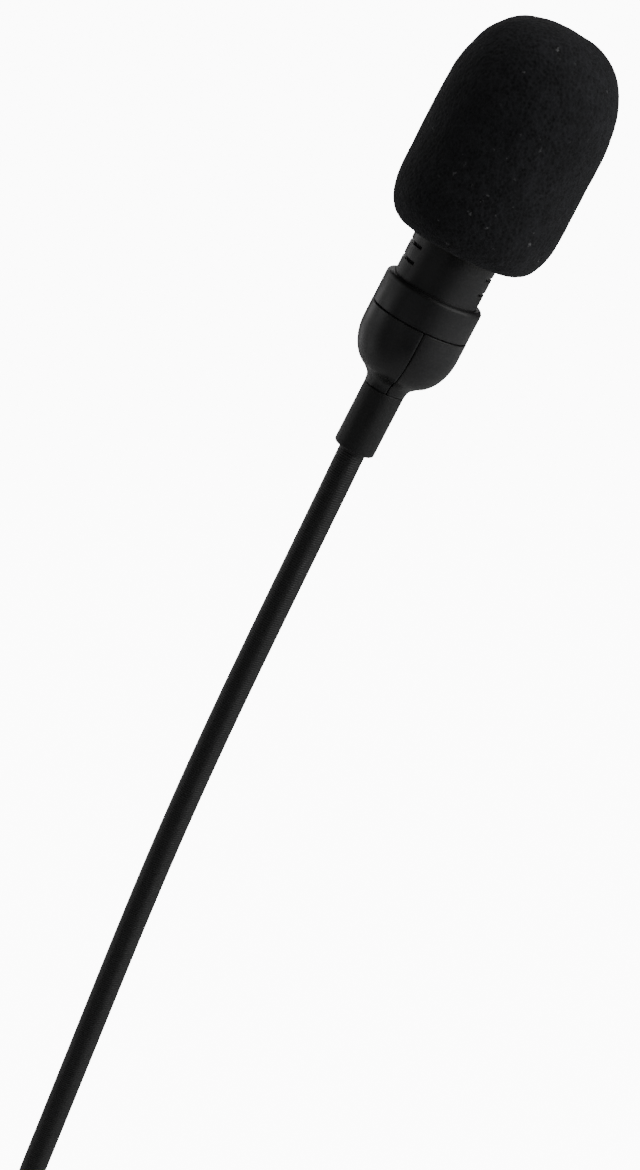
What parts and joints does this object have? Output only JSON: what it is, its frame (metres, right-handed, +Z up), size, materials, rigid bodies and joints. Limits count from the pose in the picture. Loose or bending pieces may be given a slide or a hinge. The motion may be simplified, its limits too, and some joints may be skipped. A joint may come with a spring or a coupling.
{
  "type": "gooseneck podium microphone",
  "caption": "Slim condenser microphone on a bendable wound neck, with a domed foam windscreen, slotted capsule housing, rounded cup and a three-pin plug base.",
  "frame": {"origin": "centre of the plug's shoulder, the barrel's lower ring face that rests on the socket", "axes": "+Z up along the plug, barrel and the start of the neck; the neck leans towards +X in the XZ plane; the head's front faces about -Y"},
  "size_m": [0.1388, 0.0308, 0.3998],
  "materials": {
    "foam": "open-cell acoustic foam, fine pores, matt black",
    "neck_coating": "thin black coating over close-wound wire, satin",
    "soft_rubber": "moulded black rubber, matt",
    "black_plastic": "moulded black plastic, fine texture",
    "black_metal": "black painted metal, satin",
    "nickel": "nickel plated, satin",
    "gilt": "gold plated brass",
    "steel": "turned steel",
    "aluminium": "drawn aluminium",
    "insulator": "dark moulded insulator",
    "board_green": "solder-resist on glass-fibre board",
    "component_black": "moulded epoxy",
    "white_polymer": "white insulating polymer",
    "felt": "acoustic felt",
    "film": "gold sputtered film on a metal ring",
    "wire_red": "wire insulation, red",
    "wire_white": "wire insulation, white",
    "cable_grey": "dark grey cable sheath"
  },
  "bodies": {
    "base": {"barrel": "black_metal", "barrel_board": "board_green", "base_cap": "black_plastic", "base_ferrule": "steel", "base_ferrule_nut": "nickel", "base_sleeve": "soft_rubber", "board_capacitor": "component_black", "board_transistor": "component_black", "contact_pin_1": "gilt", "contact_pin_2": "gilt", "contact_pin_3": "gilt", "insert_screw": "steel", "microphone_cable": "cable_grey", "neck_link_00": "neck_coating", "pin_wire_1": "wire_white", "pin_wire_2": "wire_red", "pin_wire_3": "wire_white", "plug_insert": "insulator", "plug_shell": "nickel"},
    "neck_01": {"neck_link_01": "neck_coating"},
    "neck_02": {"neck_link_02": "neck_coating"},
    "neck_03": {"neck_link_03": "neck_coating"},
    "neck_04": {"neck_link_04": "neck_coating"},
    "neck_05": {"neck_link_05": "neck_coating"},
    "neck_06": {"neck_link_06": "neck_coating"},
    "neck_07": {"neck_link_07": "neck_coating"},
    "neck_08": {"neck_link_08": "neck_coating"},
    "neck_09": {"neck_link_09": "neck_coating"},
    "neck_10": {"neck_link_10": "neck_coating"},
    "neck_11": {"neck_link_11": "neck_coating"},
    "neck_12": {"neck_link_12": "neck_coating"},
    "neck_13": {"neck_link_13": "neck_coating"},
    "neck_14": {"neck_link_14": "neck_coating"},
    "neck_15": {"neck_link_15": "neck_coating"},
    "neck_16": {"neck_link_16": "neck_coating"},
    "neck_17": {"neck_link_17": "neck_coating"},
    "head": {"backplate": "gilt", "backplate_ring": "white_polymer", "capsule_board": "board_green", "capsule_can": "aluminium", "capsule_holder": "soft_rubber", "capsule_housing": "black_plastic", "capsule_lead_1": "wire_white", "capsule_lead_2": "wire_red", "capsule_transistor": "component_black", "collar_ring": "black_plastic", "cup_half_left": "black_plastic", "cup_half_right": "black_plastic", "diaphragm": "film", "felt_disc": "felt", "front_grille": "black_metal", "head_ferrule": "steel", "head_ferrule_nut": "nickel", "head_sleeve": "soft_rubber", "housing_plug": "black_plastic", "neck_link_18": "neck_coating", "slot_lining": "felt"},
    "windscreen": {"foam_windscreen": "foam"}
  },
  "joints": [
    {"name": "lower_lean", "type": "hinge", "parent": "base", "child": "neck_01", "pos_m": [0.00001, 0, 0.06436], "axis": [0.0001, 1, 0.0001], "range_deg": [-15, 15], "deforming": ["microphone_cable"]},
    {"name": "lower_side", "type": "hinge", "parent": "neck_01", "child": "neck_02", "pos_m": [0.00035, 0, 0.07908], "axis": [0.9989, 0, -0.0461], "range_deg": [-15, 15], "deforming": ["microphone_cable"]},
    {"name": "lower_lean_2", "type": "hinge", "parent": "neck_02", "child": "neck_03", "pos_m": [0.0015, 0, 0.09375], "axis": [0.0001, 1, 0.0001], "range_deg": [-15, 15], "deforming": ["microphone_cable"]},
    {"name": "lower_side_2", "type": "hinge", "parent": "neck_03", "child": "neck_04", "pos_m": [0.00375, 0, 0.1083], "axis": [0.9813, 0, -0.1923], "range_deg": [-15, 15], "deforming": ["microphone_cable"]},
    {"name": "lower_lean_3", "type": "hinge", "parent": "neck_04", "child": "neck_05", "pos_m": [0.00715, 0, 0.12262], "axis": [0.0001, 1, 0.0001], "range_deg": [-15, 15], "deforming": ["microphone_cable"]},
    {"name": "lower_side_3", "type": "hinge", "parent": "neck_05", "child": "neck_06", "pos_m": [0.01158, 0, 0.13666], "axis": [0.9444, 0, -0.3287], "range_deg": [-15, 15], "deforming": ["microphone_cable"]},
    {"name": "middle_lean", "type": "hinge", "parent": "neck_06", "child": "neck_07", "pos_m": [0.01669, 0, 0.15046], "axis": [0.0001, 1, 0.0001], "range_deg": [-15, 15], "deforming": ["microphone_cable"]},
    {"name": "middle_side", "type": "hinge", "parent": "neck_07", "child": "neck_08", "pos_m": [0.02201, 0, 0.16419], "axis": [0.9323, 0, -0.3616], "range_deg": [-15, 15], "deforming": ["microphone_cable"]},
    {"name": "middle_lean_2", "type": "hinge", "parent": "neck_08", "child": "neck_09", "pos_m": [0.02733, 0, 0.17792], "axis": [0.0001, 1, 0.0001], "range_deg": [-15, 15], "deforming": ["microphone_cable"]},
    {"name": "middle_side_2", "type": "hinge", "parent": "neck_09", "child": "neck_10", "pos_m": [0.03266, 0, 0.19164], "axis": [0.9323, 0, -0.3616], "range_deg": [-15, 15], "deforming": ["microphone_cable"]},
    {"name": "middle_lean_3", "type": "hinge", "parent": "neck_10", "child": "neck_11", "pos_m": [0.038, 0, 0.20536], "axis": [0.0001, 1, 0.0001], "range_deg": [-15, 15], "deforming": ["microphone_cable"]},
    {"name": "middle_side_3", "type": "hinge", "parent": "neck_11", "child": "neck_12", "pos_m": [0.04344, 0, 0.21904], "axis": [0.9271, 0, -0.3749], "range_deg": [-15, 15], "deforming": ["microphone_cable"]},
    {"name": "upper_lean", "type": "hinge", "parent": "neck_12", "child": "neck_13", "pos_m": [0.04905, 0, 0.23265], "axis": [0.0001, 1, 0.0001], "range_deg": [-15, 15], "deforming": ["microphone_cable"]},
    {"name": "upper_side", "type": "hinge", "parent": "neck_13", "child": "neck_14", "pos_m": [0.05486, 0, 0.24618], "axis": [0.9162, 0, -0.4008], "range_deg": [-15, 15], "deforming": ["microphone_cable"]},
    {"name": "upper_lean_2", "type": "hinge", "parent": "neck_14", "child": "neck_15", "pos_m": [0.06084, 0, 0.25963], "axis": [0.0001, 1, 0.0001], "range_deg": [-15, 15], "deforming": ["microphone_cable"]},
    {"name": "upper_side_2", "type": "hinge", "parent": "neck_15", "child": "neck_16", "pos_m": [0.06696, 0, 0.27302], "axis": [0.9082, 0, -0.4186], "range_deg": [-15, 15], "deforming": ["microphone_cable"]},
    {"name": "upper_lean_3", "type": "hinge", "parent": "neck_16", "child": "neck_17", "pos_m": [0.07314, 0, 0.28639], "axis": [0.0001, 1, 0.0001], "range_deg": [-15, 15], "deforming": ["microphone_cable"]},
    {"name": "upper_side_3", "type": "hinge", "parent": "neck_17", "child": "head", "pos_m": [0.07931, 0, 0.29975], "axis": [0.9078, 0, -0.4195], "range_deg": [-15, 15], "deforming": ["microphone_cable"]},
    {"name": "windscreen_pull", "type": "slide", "parent": "head", "child": "windscreen", "axis": [0.4415, 0, 0.8973], "range_m": [0, 0.034]}
  ],
  "couplings": [
    {"joint": "lower_lean_2", "follows": "lower_lean", "ratio": 1},
    {"joint": "lower_side_2", "follows": "lower_side", "ratio": 1},
    {"joint": "lower_lean_3", "follows": "lower_lean", "ratio": 1},
    {"joint": "lower_side_3", "follows": "lower_side", "ratio": 1},
    {"joint": "middle_lean_2", "follows": "middle_lean", "ratio": 1},
    {"joint": "middle_side_2", "follows": "middle_side", "ratio": 1},
    {"joint": "middle_lean_3", "follows": "middle_lean", "ratio": 1},
    {"joint": "middle_side_3", "follows": "middle_side", "ratio": 1},
    {"joint": "upper_lean_2", "follows": "upper_lean", "ratio": 1},
    {"joint": "upper_side_2", "follows": "upper_side", "ratio": 1},
    {"joint": "upper_lean_3", "follows": "upper_lean", "ratio": 1},
    {"joint": "upper_side_3", "follows": "upper_side", "ratio": 1}
  ]
}
